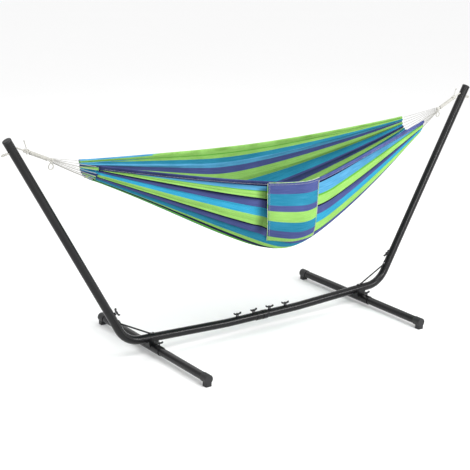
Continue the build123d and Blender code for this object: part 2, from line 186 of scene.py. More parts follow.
def mesh_of(bm, name, recalculate=True):
    """Closes a bmesh into mesh data."""
    if recalculate:
        bmesh.ops.recalc_face_normals(bm, faces=bm.faces)
    data = bpy.data.meshes.new(name)
    bm.to_mesh(data)
    bm.free()
    return data


def smooth_line(points, resolution=16):
    """Points along the smooth NURBS line with the given control points."""
    data = bpy.data.curves.new("line", "CURVE")
    data.dimensions = "3D"
    data.resolution_u = resolution
    spline = data.splines.new("NURBS")
    spline.points.add(len(points) - 1)
    for point, place in zip(spline.points, points):
        point.co = (*place, 1.0)
    spline.order_u = 3
    spline.use_endpoint_u = True
    holder = bpy.data.objects.new("line", data)
    mesh = bpy.data.meshes.new_from_object(holder)
    line = [vertex.co.copy() for vertex in mesh.vertices]
    bpy.data.meshes.remove(mesh)
    bpy.data.objects.remove(holder)
    bpy.data.curves.remove(data)
    return line


def running_lengths(line):
    """The length of a line up to each of its points."""
    lengths = [0.0]
    for a, b in zip(line, line[1:]):
        lengths.append(lengths[-1] + (b - a).length)
    return lengths


def even_marks(line, count):
    """Evenly spaced marks on a line: the segment that each falls on, and its share of that segment."""
    lengths = running_lengths(line)
    k = 0
    for i in range(count + 1):
        target = lengths[-1] * i / count
        while k < len(line) - 2 and lengths[k + 1] < target:
            k += 1
        part = (target - lengths[k]) / max(lengths[k + 1] - lengths[k], SHORTEST)
        yield k, min(part, 1.0)


def evenly(line, step=None, count=None):
    """The same line with its points at an even spacing: about one step apart, or a count of steps."""
    count = count or max(2, round(running_lengths(line)[-1] / step))
    return [line[k].lerp(line[k + 1], part) for k, part in even_marks(line, count)]


def twisted(line, radius, pitch, phase):
    """A helix of the given radius and pitch around a line."""
    tangent = (line[1] - line[0]).normalized()
    side = tangent.orthogonal().normalized()
    turned = 0.0
    points = []
    for i, place in enumerate(line):
        ahead = line[min(i + 1, len(line) - 1)] - line[max(i - 1, 0)]
        new_tangent = ahead.normalized()
        side = tangent.rotation_difference(new_tangent) @ side
        tangent = new_tangent
        if i:
            turned += math.tau * (place - line[i - 1]).length / pitch
        points.append(place + Quaternion(tangent, turned + phase) @ side * radius)
    return points


def tube_mesh(name, lines, radius, sides=8, taper=None, cyclic=False):
    """Round tubes that follow the given lines, as one mesh."""
    data = bpy.data.curves.new(name, "CURVE")
    data.dimensions = "3D"
    data.bevel_depth = radius
    data.bevel_resolution = max(1, sides // 2 - 2)
    data.use_fill_caps = True
    for line in lines:
        spline = data.splines.new("POLY")
        spline.points.add(len(line) - 1)
        for i, place in enumerate(line):
            spline.points[i].co = (*place, 1.0)
            spline.points[i].radius = taper(i / (len(line) - 1)) if taper else 1.0
        spline.use_cyclic_u = cyclic
    holder = bpy.data.objects.new(name, data)
    mesh = bpy.data.meshes.new_from_object(holder)
    mesh.name = name
    bpy.data.objects.remove(holder)
    bpy.data.curves.remove(data)
    bm = bmesh.new()
    bm.from_mesh(mesh)
    bmesh.ops.remove_doubles(bm, verts=bm.verts, dist=1e-6)
    bmesh.ops.recalc_face_normals(bm, faces=bm.faces)
    bm.to_mesh(mesh)
    bm.free()
    return mesh


STRAND_SHARE = {2: 0.56, 3: 0.50}       # a strand's radius as a share of the rope's, by their number


def laid_rope(name, line, diameter, strands, pitch, step, sides=8):
    """A laid rope along a line: tubes that wind round it."""
    radius = diameter / 2 * STRAND_SHARE[strands]
    fine = evenly(line, step)
    windings = [twisted(fine, diameter / 2 - radius, pitch, math.tau * k / strands) for k in range(strands)]
    return tube_mesh(name, windings, radius, sides)


# ---- finishes -----------------------------------------------------------------------------------
NOISE_RANGE = (0.3, 0.7)                # where nearly all of a noise texture's values lie


def feed(node, **values):
    """Sets a node's inputs by name: a socket is linked, and a plain value is stored."""
    for name, value in values.items():
        socket = node.inputs[name.replace("_", " ")]
        if isinstance(value, bpy.types.NodeSocket):
            node.id_data.links.new(value, socket)
        else:
            socket.default_value = value


def new_material(name):
    """A material, its Principled shader, and a helper that adds nodes to it."""
    material = bpy.data.materials.new(name)
    material.use_nodes = True
    tree = material.node_tree

    def add(kind, **values):
        """A new node: an in_ before a value's name marks one of the node's inputs."""
        node = tree.nodes.new(kind)
        for key, value in values.items():
            if key.startswith("in_"):
                feed(node, **{key.removeprefix("in_"): value})
            else:
                setattr(node, key, value)
        return node

    return material, tree.nodes["Principled BSDF"], add


def object_noise(add, scale, detail=4.0, rough=0.6, stretch=(1, 1, 1)):
    """Noise on Object coordinates, stretched by the given scale."""
    place = add("ShaderNodeTexCoord")
    mapping = add("ShaderNodeMapping", in_Vector=place.outputs["Object"], in_Scale=stretch)
    noise = add("ShaderNodeTexNoise", in_Vector=mapping.outputs["Vector"], in_Scale=scale, in_Detail=detail,
                in_Roughness=rough)
    return noise.outputs["Fac"]


def add_bump(add, shader, height, strength, distance, **beneath):
    """Bumps on a shader's surface, over others if their normal is given as in_Normal."""
    bump = add("ShaderNodeBump", in_Height=height, in_Strength=strength, in_Distance=distance, **beneath)
    feed(shader, Normal=bump.outputs["Normal"])
    return bump.outputs["Normal"]


def blended(add, low, high, factor):
    """A colour between two, by a factor socket. Each colour is a socket or three numbers."""
    mix = add("ShaderNodeMix", data_type="RGBA")
    amount, first, second = mix.inputs[0], mix.inputs[6], mix.inputs[7]
    links = mix.id_data.links
    for value, socket in ((low, first), (high, second)):
        if isinstance(value, bpy.types.NodeSocket):
            links.new(value, socket)
        else:
            socket.default_value = (*value, 1)
    links.new(factor, amount)
    return mix.outputs[2]


def spread(add, value, onto, within=NOISE_RANGE):
    """A value moved from within one range onto another."""
    node = add("ShaderNodeMapRange", in_Value=value, in_From_Min=within[0], in_From_Max=within[1],
               in_To_Min=onto[0], in_To_Max=onto[1])
    return node.outputs["Result"]


def shade(value, share):
    """A colour made darker or paler."""
    return tuple(min(1.0, c * share) for c in value)


def mottled(add, value, darkest, palest, noise):
    """A colour that wanders between two shades of itself."""
    return blended(add, shade(value, darkest), shade(value, palest), noise)


def powder_coat(colours):
    """Satin black powder coat: a fine orange peel and faint wear in its sheen."""
    material, shader, add = new_material("satin_powder_coat")
    peel = object_noise(add, scale=900.0, detail=3.0)
    wear = object_noise(add, scale=9.0, detail=5.0)
    feed(shader, Base_Color=mottled(add, colours.powder_coat, 0.75, 1.5, wear),
         Roughness=spread(add, wear, onto=(0.19, 0.27)), Specular_IOR_Level=0.26)
    add_bump(add, shader, peel, strength=0.25, distance=0.0003)
    return material


def moulded_plastic(colours):
    """Black moulded plastic with a fine spark-eroded grain."""
    material, shader, add = new_material("moulded_plastic")
    grain = object_noise(add, scale=1500.0, detail=2.0)
    cloud = object_noise(add, scale=30.0)
    feed(shader, Base_Color=mottled(add, colours.plastic, 0.8, 1.6, cloud),
         Roughness=spread(add, grain, onto=(0.42, 0.6)), Specular_IOR_Level=0.4)
    add_bump(add, shader, grain, strength=0.35, distance=0.0002)
    return material


def zinc_steel(colours):
    """Zinc-plated steel with turning marks."""
    material, shader, add = new_material("zinc_plated_steel")
    marks = object_noise(add, scale=300.0, stretch=(1, 1, 12))
    feed(shader, Base_Color=mottled(add, colours.zinc, 0.75, 1.15, marks),
         Roughness=spread(add, marks, onto=(0.28, 0.45)), Metallic=1.0)
    add_bump(add, shader, marks, strength=0.2, distance=0.0002)
    return material


def cotton_rope(colours, name="cotton_rope", share=1.0):
    """Off-white cotton: fine pale fibres over a darker body, painted shade in the hollows. A share under 1 darkens
    all of it, as painted shade.
    """
    material, shader, add = new_material(name)
    fibre = object_noise(add, scale=1400.0, rough=0.7)
    tone = object_noise(add, scale=60.0)
    # The darker body between the pale fibres is painted shade in the rope's hollows.
    body = mottled(add, colours.rope, 0.80 * share, 1.08 * share, tone)
    fluff = spread(add, fibre, onto=(0.0, 0.6), within=(0.45, 0.75))
    feed(shader, Base_Color=blended(add, body, shade(colours.rope, 1.16 * share), fluff),
         Roughness=0.92, Specular_IOR_Level=0.2, Sheen_Weight=0.05)
    add_bump(add, shader, fibre, strength=0.6, distance=0.0006)
    return material


def edging_tape(colours):
    """Pale ribbed tape on the pocket's edges, lime where the thread shows."""
    material, shader, add = new_material("edging_tape")
    ribs = object_noise(add, scale=220.0, detail=2.0)
    tone = object_noise(add, scale=35.0, detail=2.0)
    pale = blended(add, shade(colours.trim, 0.75), shade(colours.rope, 1.1), ribs)
    thread = spread(add, tone, onto=(0.0, 1.0), within=(0.45, 0.6))
    feed(shader, Base_Color=blended(add, pale, shade(colours.lime, 1.1), thread),
         Roughness=0.9, Specular_IOR_Level=0.1)
    add_bump(add, shader, ribs, strength=0.5, distance=0.0005)
    return material


# Widths of the stripes in millimetres across the cloth, from the far hem to the near hem. The thin dark lines on
# the near side are painted shade, under the pleats and the hem roll.
CLOTH_STRIPES = (
    ("sky", 3), ("lime", 14), ("green", 7), ("lime", 13), ("teal", 20), ("sky", 20), ("purple", 30),
    ("lime", 44), ("cyan", 50), ("purple", 42), ("lime", 36), ("teal", 28), ("sky", 20), ("purple", 50),
    ("lime", 72), ("teal", 84), ("purple", 40), ("green", 40), ("navy", 48), ("lime", 34), ("teal", 42),
    ("purple", 46), ("painted_shade_line", 9), ("lime", 54), ("cyan", 46), ("purple", 36), ("painted_shade_line", 9), ("lime", 36),
    ("green", 7), ("sky", 34), ("painted_shade_line", 5), ("purple", 16))
POCKET_STRIPES = (("purple", 52), ("teal", 54), ("purple", 30), ("lime", 54), ("teal", 55), ("purple", 50),
                  ("lime", 40))

THREADS_PER_METRE = 900.0


def pattern_width(stripes):
    """The width of a set of stripes, in millimetres."""
    return sum(width for _name, width in stripes)


def stripe_ramp(add, across, stripes, colours):
    """A hard-edged ramp of the stripes, read across the cloth from 0 to 1."""
    ramp = add("ShaderNodeValToRGB", in_Fac=across)
    stops = ramp.color_ramp.elements
    ramp.color_ramp.interpolation = "CONSTANT"
    stops.remove(stops[-1])
    place = 0.0
    for i, (name, width) in enumerate(stripes):
        stop = stops[0] if i == 0 else stops.new(place)
        stop.position = place
        stop.color = (*getattr(colours, name), 1)
        place += width / pattern_width(stripes)
    return ramp.outputs["Color"]


def woven_cloth(colours, name, stripes):
    """Striped cotton canvas on the piece's UV map: U is metres along the warp, V is 0 to 1 across."""
    material, shader, add = new_material(name)
    width = pattern_width(stripes) / 1000
    uv = add("ShaderNodeUVMap", uv_map="cloth").outputs["UV"]

    def scaled(along, across):
        """The UV map in units of so many to the metre, each way."""
        return add("ShaderNodeMapping", in_Vector=uv, in_Scale=(along, width * across, 1.0)).outputs["Vector"]

    def noise(place, detail):
        """Noise that is one unit coarse."""
        return add("ShaderNodeTexNoise", in_Vector=place, in_Scale=1.0, in_Detail=detail).outputs["Fac"]

    def recoloured(base, **changes):
        """A colour with its value or its saturation changed."""
        return add("ShaderNodeHueSaturation", in_Color=base, **changes).outputs["Color"]

    bands = stripe_ramp(add, add("ShaderNodeSeparateXYZ", in_Vector=uv).outputs["Y"], stripes, colours)
    slub = noise(scaled(9.0, THREADS_PER_METRE), detail=3.0)
    fade = noise(scaled(7.0, 7.0), detail=5.0)
    dark = recoloured(bands, in_Value=0.72)
    pale = recoloured(bands, in_Value=1.18, in_Saturation=0.92)
    threads = blended(add, dark, pale, spread(add, slub, onto=(0.0, 1.0)))
    worn = recoloured(threads, in_Saturation=0.98, in_Value=spread(add, fade, onto=(0.9, 1.1)))
    # Painted shade: this attribute darkens the cloth in its fold valleys, pleat tucks, the hollow by the pocket,
    # the near hem and the pocket's seams.
    painted_shade = add("ShaderNodeAttribute", attribute_name="painted_shade").outputs["Fac"]
    shade_painted_colour = recoloured(worn, in_Value=spread(add, painted_shade, onto=(1.0, 0.12), within=(0.0, 1.0)))
    feed(shader, Base_Color=shade_painted_colour, Roughness=0.85, Specular_IOR_Level=0.02)
    weave = add("ShaderNodeTexChecker", in_Vector=scaled(THREADS_PER_METRE, THREADS_PER_METRE), in_Scale=1.0)
    weft = add_bump(add, shader, weave.outputs["Fac"], strength=0.3, distance=0.0003)
    add_bump(add, shader, slub, strength=0.35, distance=0.0005, in_Normal=weft)
    return material


MAKERS = {"satin_powder_coat": powder_coat, "moulded_plastic": moulded_plastic,
          "zinc_plated_steel": zinc_steel, "cotton_rope": cotton_rope, "edging_tape": edging_tape}
CLOTHS = {"bed_cloth": CLOTH_STRIPES, "pocket_cloth": POCKET_STRIPES}
SLOT_FINISH = {"black_powder_coat": "satin_powder_coat", "black_plastic": "moulded_plastic",
               "zinc_steel": "zinc_plated_steel", "white_cotton_rope": "cotton_rope"}


def finish(name):
    """A finish by its name, made once."""
    made = bpy.data.materials.get(name)
    if made:
        return made
    _sizes, colours = props()
    if name in MAKERS:
        return MAKERS[name](colours)
    # A darker copy of the cotton for the clew cords: painted shade in the dense fan.
    if name == "cotton_painted_shade":
        return cotton_rope(colours, name, share=0.75)
    return woven_cloth(colours, name, CLOTHS[name])


# ---- the cloth's shape --------------------------------------------------------------------------
HALF_WIDTHS = (0.342, 0.070)            # of the trough, at the middle and at the gathered ends
HEM_DROPS = (0.2366, 0.1126)            # below the swing axis, at the middle and at the ends
BOTTOM_DROPS = (0.6626, 0.1826)
WIDTH_POWER, HEM_POWER, BOTTOM_POWER = 0.964, 1.156, 1.124
SECTION_POWER = 2 / 3
SECTION_STEPS = 240
GIRTH = 1.11                            # the section's length from hem to hem, beside the pocket
TUCK_FADES = (0.015, 0.0022)            # how far a pleat's tuck fades, below its edge and above it
LEDGE_FADE = 0.014                      # how far the bulge above a pleat fades
HEM_SHADE = 0.62                        # of the near hem left of the middle, where the folds shade it
FAR_HEM_PATTERN = (0.001, 0.009)        # the pattern's share at the far hem, left and past the middle
HEM_STEPS = 12
HEM_LAYERS = 2.2                        # how many cloths thick an end hem is
POCKET_SPAN = (-0.217, 0.066)           # the pocket's mouth along the cloth
POCKET_START = 0.003                    # from the hem down to the mouth
POCKET_DROP = 0.335


def between(ends, share):
    """A value that goes from the first end to the second."""
    return ends[0] + (ends[1] - ends[0]) * share


def softened(share, rounding):
    """0 at the middle and 1 at the end, with a rounded middle."""
    full = math.sqrt(1 + rounding**2) - rounding
    return (math.sqrt(share**2 + rounding**2) - rounding) / full


def bed_section(x):
    """Half width, hem height and bottom height of the cloth at x. It is deepest right of the middle."""
    along = x / BED_HALF_LENGTH
    share = min(abs(along), 1.0)
    hem_share = softened(share, rounding=0.08)
    half_width = between(HALF_WIDTHS[::-1], max(1 - hem_share, 0.0) ** WIDTH_POWER)
    hem_drop = between(HEM_DROPS, hem_share**HEM_POWER)
    bottom_drop = between(BOTTOM_DROPS, softened(share, rounding=0.1) ** BOTTOM_POWER)
    bottom_drop += max(1 - along**2, 0.0) * (0.055 * along - 0.013)
    return half_width, SWING_HEIGHT - hem_drop, SWING_HEIGHT - bottom_drop


def section_curve(half_width, top_z, bottom_z, steps):
    """The cross-section's points (y, z), from the near hem over the bottom to the far hem."""
    curve = []
    for k in range(steps + 1):
        c, s = math.cos(math.pi * k / steps), math.sin(math.pi * k / steps)
        y = -math.copysign(abs(c) ** SECTION_POWER, c) * half_width
        curve.append(Vector((y, top_z - (top_z - bottom_z) * abs(s) ** SECTION_POWER)))
    return curve


def section_line(x, count):
    """The cross-section at x as evenly spaced (point, normal) from the far hem, and its length."""
    fine = section_curve(*bed_section(x), SECTION_STEPS)[::-1]
    points = []
    for k, part in even_marks(fine, count):
        run = (fine[min(k + 4, SECTION_STEPS)] - fine[max(k - 3, 0)]).normalized()
        points.append((fine[k].lerp(fine[k + 1], part), Vector((run.y, -run.x))))
    return points, running_lengths(fine)[-1]


def pleat_places():
    """Shares across the near side where the cloth is tucked, each between two stripes."""
    tucked = (("purple", "painted_shade_line"), ("navy", "lime"), ("painted_shade_line", "purple"), ("teal", "purple"))
    near_side = 0.55
    places = []
    place = 0.0
    for (name, width), (following, _width) in zip(CLOTH_STRIPES, CLOTH_STRIPES[1:]):
        place += width / pattern_width(CLOTH_STRIPES)
        if (name, following) in tucked and place > near_side:
            places.append(place)
    return places


PLEATS = pleat_places()


def stripe_place(along, across):
    """The share of the stripe pattern that lies at a share of the cloth's width: it is never woven true."""
    from_hem = (1 - across) * GIRTH
    sway = 0.020 * eased(from_hem, 0.02, 0.07) * (1 - eased(from_hem, 0.30, 0.50))
    side = eased(along, -0.3, 0.2) * 2 - 1
    return min(max(across + sway * side, 0.0), 1.0)


def pleat(along, pattern):
    """How deep the cloth is tucked at the pleats, 0 to 1, and whether it bulges just above one."""
    if along < 0:
        reach = between((0.30, 1.0), eased(-along, 0.12, 0.47))
    else:
        reach = 0.8 * eased(along, 0.12, 0.62)
    tuck, ledge = 0.0, 0.0
    for edge in PLEATS:
        below = (edge - pattern) * GIRTH
        if below >= 0:
            tuck += math.exp(-below / TUCK_FADES[0])
        else:
            tuck += math.exp(below / TUCK_FADES[1])
            ledge += math.exp(below / LEDGE_FADE)
    return min(tuck, 1.0) * reach, min(ledge, 1.0) * reach


def beside_pocket(along, across):
    """The hollow in the cloth beside the pocket's left edge, 0 to 1."""
    from_hem = (1 - across) * GIRTH
    edge = POCKET_SPAN[0] + 0.02 * from_hem / 0.3
    gap = edge - along * BED_HALF_LENGTH
    sideways = eased(gap, -0.020, 0.005) * (1 - eased(gap, 0.010, 0.070))
    return sideways * eased(from_hem, 0.015, 0.045) * (1 - eased(from_hem, 0.25, 0.33))


def fold_height(along, across, sizes):
    """Depth of the cloth's folds and the painted shade in them: lobes, pleats, and a hollow by the pocket."""
    share = min(abs(along), 1.0)
    if share < 0.5:
        depth = between((sizes.fold_depth_middle, sizes.fold_depth_half), eased(share, 0.0, 0.5))
    else:
        depth = between((sizes.fold_depth_half, sizes.fold_depth_end), (share - 0.5) / 0.5)
    end = 1 if along > 0 else 2            # so that the two ends' folds differ
    drift = 0.010 * math.sin(7.3 * across + 1.9 * end) + 0.006 * math.sin(17 * across + end)
    phase = (across + drift * share) * sizes.fold_count
    unevenness = 0.7 + 0.3 * math.sin(2.4 * math.floor(phase) + 1.3 * end)
    wave = abs(math.sin(math.pi * phase)) ** 0.75
    tuck, ledge = pleat(along, stripe_place(along, across))
    hollow = beside_pocket(along, across)
    height = depth * unevenness * (0.75 - wave)
    height += sizes.pleat_depth * (tuck - 0.35 * ledge) + 0.010 * hollow
    valley = max(0.0, 0.35 - wave) / 0.35 * eased(share, 0.35, 0.85)
    # The second value is painted shade, darkest in the pleats' tucks, the hollow by the pocket and the fold
    # valleys.
    return height, min(1.0, max(0.9 * tuck, 0.70 * hollow, 0.45 * valley))


def bed_place(x, point, normal, across, sizes):
    """Where a point of the cross-section ends up, with the folds, the tilt and the skewed ends."""
    along = x / BED_HALF_LENGTH
    quiet = min(across, 1 - across) / 0.02
    height, shaded = fold_height(along, across, sizes)
    moved = point + normal * (height * min(1.0, 0.15 + 0.85 * quiet))
    skew = -0.010 * (moved.x / HALF_WIDTHS[1]) * abs(along) ** 12
    ragged = -math.copysign(0.005, along) * shaded * eased(abs(along), 0.96, 1.0)
    place = Vector((x + skew + ragged, moved.x, moved.y + hem_tilt(along, across, sizes) * moved.x))
    return place, shaded * min(1.0, quiet)


def hem_tilt(along, across, sizes):
    """How far the hems hang out of level, as a slope: most left of the middle, and none at the bottom."""
    near_hem = 1 - eased(min(across, 1 - across), 0.10, 0.30)
    return sizes.hem_tilt * (1 - along * along) * (1 - 1.3 * along) * near_hem


def hem_offsets(sizes):
    """The rolled hem, from the cloth's edge over the top and down outside it: (outward, upward)."""
    roll, half = sizes.hem_roll, HEM_STEPS // 2
    turns = [math.pi * k / half for k in range(1, half + 1)]
    over = [(roll * (1 - math.cos(turn)), roll * math.sin(turn)) for turn in turns]
    flat = sizes.cloth_thickness * 1.1
    falls = [k / half for k in range(1, half + 1)]
    return over + [(between((2 * roll, flat), eased(fall, 0, 1)), -sizes.hem_width * fall) for fall in falls]


def bed_column(x, count, sizes):
    """One line across the cloth at x: placed points from hem to hem, pattern shares and shading."""
    points, _length = section_line(x, count)
    along = x / BED_HALF_LENGTH
    far_pattern = between(FAR_HEM_PATTERN, eased(along, -0.9, 0.0))
    column = []
    for j, (point, normal) in enumerate(points):
        place, shaded = bed_place(x, point, normal, j / count, sizes)
        column.append((place, max(stripe_place(along, j / count), far_pattern), shaded))

    def hem(end, across, looks):
        """The rolled hem beyond one end of the line, with a pattern share and a shading at each step."""
        point, normal = points[end]
        rolled = [point - normal * outward + Vector((0, upward)) for outward, upward in hem_offsets(sizes)]
        return [(bed_place(x, place, normal, across, sizes)[0], *look) for place, look in zip(rolled, looks)]

    steps = range(HEM_STEPS)
    patterns = [max(far_pattern - 0.0045 * step / HEM_STEPS, FAR_HEM_PATTERN[0]) for step in steps]
    far = hem(0, 0.0, [(pattern, 0.0) for pattern in patterns])
    # Painted shade on the near hem, left of the middle.
    near_shade = HEM_SHADE * (1 - eased(along, -0.20, 0.10))
    near = hem(-1, 1.0, [(0.999, near_shade * eased(step, 2, 5)) for step in steps])
    return far[::-1] + column + near


# ---- the studio -----------------------------------------------------------------------------------
FLOOR_HALF = 30.0
CAMERA_PLACE = (-3.5881, -4.6650, 2.2481)
CAMERA_TURN = (36.157, 16.631, 1.081)   # yaw, pitch and roll in degrees
CAMERA_LENS = 92.6                      # millimetres
LIGHTS = (                              # name, place, what it faces, sides, turn in degrees, watts
    ("base_light", (2.85, -3.7, 2.2), (0, 0, 0.1), (1.6, 0.6), 0, 74.0),
    ("pole_light", (0.35, -5.0, 1.86), (1.1, 0, 0.65), (0.4, 1.3), -25, 78.0),
    ("top_light", (-0.2, -1.6, 4.0), (0, 0.2, 0.6), (2.5, 2.5), 0, 72.0),
    ("back_light", (0.5, 3.6, 4.2), (0, 0, 0.6), (3.0, 3.0), 0, 30.0))


def light_world(scene):
    """Even white light from all around."""
    scene.view_settings.view_transform = "Standard"
    world = scene.world or bpy.data.worlds.new("studio")
    scene.world = world
    world.use_nodes = True
    feed(world.node_tree.nodes["Background"], Color=(1, 1, 1, 1), Strength=1.0)


def add_floor(scene, colours):
    """The pale floor."""
    bm = bmesh.new()
    bmesh.ops.create_grid(bm, x_segments=8, y_segments=8, size=FLOOR_HALF)
    floor = bpy.data.objects.new("studio_floor", mesh_of(bm, "studio_floor", recalculate=False))
    scene.collection.objects.link(floor)
    material, shader, add = new_material("studio_floor")
    feed(shader, Base_Color=mottled(add, colours.floor, 0.99, 1.0, object_noise(add, scale=0.7)),
         Roughness=0.9, Specular_IOR_Level=0.1)
    floor.data.materials.append(material)


def add_lights(scene):
    """The soft rectangular lights."""
    for name, place, target, sides, turn, watts in LIGHTS:
        lamp = bpy.data.lights.new(name, "AREA")
        lamp.shape = "RECTANGLE"
        lamp.size, lamp.size_y = sides
        lamp.energy = watts
        holder = bpy.data.objects.new(name, lamp)
        holder.location = place
        facing = (Vector(target) - Vector(place)).to_track_quat("-Z", "Y").to_matrix()
        holder.rotation_euler = (facing @ Matrix.Rotation(math.radians(turn), 3, "Z")).to_euler()
        scene.collection.objects.link(holder)


def add_camera(scene):
    """The camera, placed and turned by its own three angles."""
    lens = bpy.data.cameras.new("camera")
    lens.sensor_width = 36.0
    lens.lens = CAMERA_LENS
    camera = bpy.data.objects.new("camera", lens)
    scene.collection.objects.link(camera)
    yaw, pitch, roll = (math.radians(angle) for angle in CAMERA_TURN)
    ahead = Vector((math.sin(yaw) * math.cos(pitch), math.cos(yaw) * math.cos(pitch), -math.sin(pitch)))
    right = Vector((math.cos(yaw), -math.sin(yaw), 0))
    level = Matrix((right, right.cross(ahead), -ahead)).transposed()
    camera.rotation_euler = (level @ Matrix.Rotation(roll, 3, "Z")).to_euler()
    camera.location = CAMERA_PLACE
    scene.camera = camera


class HAMMOCK_OT_studio(bpy.types.Operator):
    """Add the pale floor, the soft lights and the camera"""

    bl_idname = "hammock.studio"
    bl_label = "Studio"

    def execute(self, context):
        _sizes, colours = props()
        light_world(context.scene)
        add_floor(context.scene, colours)
        add_lights(context.scene)
        add_camera(context.scene)
        return {"FINISHED"}


# ---- the stand ------------------------------------------------------------------------------------
MOULDED_EDGE_ANGLE = math.radians(28)   # edges of a screw's head that are sharper than this are rounded


class HAMMOCK_OT_stand(bpy.types.Operator):
    """Give the steel stand, its caps and its screws their finishes"""

    bl_idname = "hammock.stand"
    bl_label = "Stand finishes"

    def execute(self, context):
        sizes, _colours = props()
        for row in frame["record"]["subparts"]:
            node = NODES[row["node"]]
            kind = SLOT_FINISH.get(row["material_slot"])
            if kind:
                node.data.materials.clear()
                node.data.materials.append(finish(kind))
            if row["node"].startswith("wing_head"):
                edge = node.modifiers.new("moulded_edges", "BEVEL")
                edge.width = sizes.wing_rounding
                edge.segments = 3
                edge.limit_method = "ANGLE"
                edge.angle_limit = MOULDED_EDGE_ANGLE
        return {"FINISHED"}


# ---- the ropes ------------------------------------------------------------------------------------
RIGHT, FAR, UP = Vector((1, 0, 0)), Vector((0, 1, 0)), Vector((0, 0, 1))
ROPE_LAY = {"strands": 3, "pitch": 0.024, "step": 0.0025}
STOPPER_OFFSETS = (                     # away from the pole, aside and upward
    (0.012, -0.006, 0.004), (0.031, -0.008, 0.010), (0.037, 0.0, 0.011), (0.031, 0.008, 0.010),
    (0.012, 0.006, 0.004))
DANGLE_OFFSETS = (                      # to the right and downward
    (0.010, 0.010), (0.013, 0.022), (0.006, 0.032), (-0.006, 0.033), (-0.013, 0.023), (-0.009, 0.010))
TAIL_OFFSETS = (                        # towards its own end of the stand, to the far side and upward
    (0.0020, -0.0010, 0.0140), (0.0060, -0.0020, 0.0310), (0.0125, -0.0030, 0.0470))
FIBRE_COUNT = 26
FIBRE_RADIUS = 0.00035


class HAMMOCK_OT_tie_ropes(bpy.types.Operator):
    """Make each end's tie rope with its knots, neck, tail and the loop outside the pole"""

    bl_idname = "hammock.tie_ropes"
    bl_label = "Tie ropes"

    def execute(self, context):
        sizes, _colours = props()
        for side, hand in SIDES:
            pieces = [stopper_loop(side, hand, sizes), tie_knot(side, hand, sizes), rope_neck(side, hand),
                      clew_knot(side, hand, sizes), clew_loop(side, hand)]
            fray = rope_tail(side, hand, sizes)
            route = [on_pull(hand, along) for along in TIE_ROPE_AT]
            line = smooth_line(route)
            mesh = laid_rope("tie_rope", line, sizes.rope_diameter, **ROPE_LAY)
            rope = rope_piece(f"tie_rope_{side}.laid", mesh, replaced=f"tie_rope_{side}")
        return {"FINISHED"}


def stopper_loop(side, hand, sizes):
    """The rope that comes back through the pole, with its small loop outside."""
    inward = pole_inward(hand)
    hole = swing_point(hand) - inward * (POLE_RADIUS + sizes.rope_diameter / 4)
    outside = hole - inward * (POLE_RADIUS + 0.001)
    aside = (FAR - UP * 0.8).normalized()
    loop = [outside - inward * away + aside * sideways + UP * rise
            for away, sideways, rise in STOPPER_OFFSETS]
    line = smooth_line([swing_point(hand), hole + inward * 0.010, outside, *loop, outside + inward * 0.004])
    mesh = laid_rope("anchor_knot", line, sizes.rope_diameter * 0.98, **ROPE_LAY)
    return rope_piece(f"anchor_knot_{side}.laid", mesh, replaced=f"anchor_knot_{side}", body="stand")


def knot_line(centre, axis, across, radius, length, steps):
    """A closed knot: a trefoil that is stretched along the rope's axis."""
    third = axis.cross(across).normalized()
    thickness = radius * 0.62
    points = []
    for i in range(steps):
        t = math.tau * i / steps
        a = (math.sin(t) + 2 * math.sin(2 * t)) / 3
        b = (math.cos(t) - 2 * math.cos(2 * t)) / 3
        c = -math.sin(3 * t)
        points.append(centre + across * (a * radius) + axis * (b * length) + third * (c * thickness))
    return points


def knot_piece(node, side, lines, cord_radius):
    """A tied knot in place of the solid of its name."""
    mesh = tube_mesh(node, lines, cord_radius, sides=10, cyclic=True)
    return rope_piece(f"{node}_{side}.tied", mesh, replaced=f"{node}_{side}")


def tie_knot(side, hand, sizes):
    """The knot that ties the rope back on itself, near the pole."""
    axis, centre = pull_direction(hand), on_pull(hand, TIE_KNOT_AT)
    across = (UP - axis * UP.dot(axis)).normalized()
    behind = centre - axis * 0.006
    lines = [knot_line(centre, axis, across, radius=0.0095, length=0.0120, steps=72),
             knot_line(behind, axis, across.cross(axis), radius=0.0085, length=0.0100, steps=72)]
    return knot_piece("tie_knot", side, lines, sizes.rope_diameter / 2 * 0.95)


def clew_knot(side, hand, sizes):
    """The larger knot where the fan of cords starts."""
    axis, centre = pull_direction(hand), on_pull(hand, CLEW_KNOT_AT)
    ahead = centre + axis * 0.002
    lines = [knot_line(centre, axis, FAR, radius=0.0098, length=0.0100, steps=80),
             knot_line(ahead, axis, FAR.cross(axis), radius=0.0088, length=0.0090, steps=80)]
    return knot_piece("clew_knot", side, lines, sizes.rope_diameter / 2 * 0.85)


def rope_neck(side, hand):
    """The whipped neck: the cords' core with a cord wound closely round it."""
    ends = [on_pull(hand, along) for along in NECK_SPAN]
    radius, cord_radius = 0.0078, 0.0017
    winding = twisted(evenly(ends, step=0.0003), radius, pitch=2 * cord_radius, phase=0.0)

    def neck_taper(t):
        """Narrow at both ends."""
        return 0.55 + 0.45 * min(1, 12 * t, 12 * (1 - t))

    bm = bmesh.new()
    bm.from_mesh(tube_mesh("rope_neck", [winding], cord_radius, sides=6))
    bm.from_mesh(tube_mesh("core", [evenly(ends, step=0.004)], radius, sides=20, taper=neck_taper))
    return rope_piece(f"rope_neck_{side}.whipped", mesh_of(bm, "rope_neck"), replaced=f"rope_neck_{side}")


def clew_loop(side, hand):
    """The small loop of rope that dangles under the clew knot."""
    top = on_pull(hand, CLEW_KNOT_AT) - UP * 0.010
    dangle = [top + RIGHT * x - UP * down for x, down in DANGLE_OFFSETS]
    line = smooth_line([top + FAR * 0.003, *dangle, top - FAR * 0.003])
    mesh = laid_rope("clew_loop", line, diameter=0.0062, strands=3, pitch=0.019, step=0.0022)
    return rope_piece(f"clew_loop_{side}.laid", mesh, replaced=f"clew_loop_{side}")


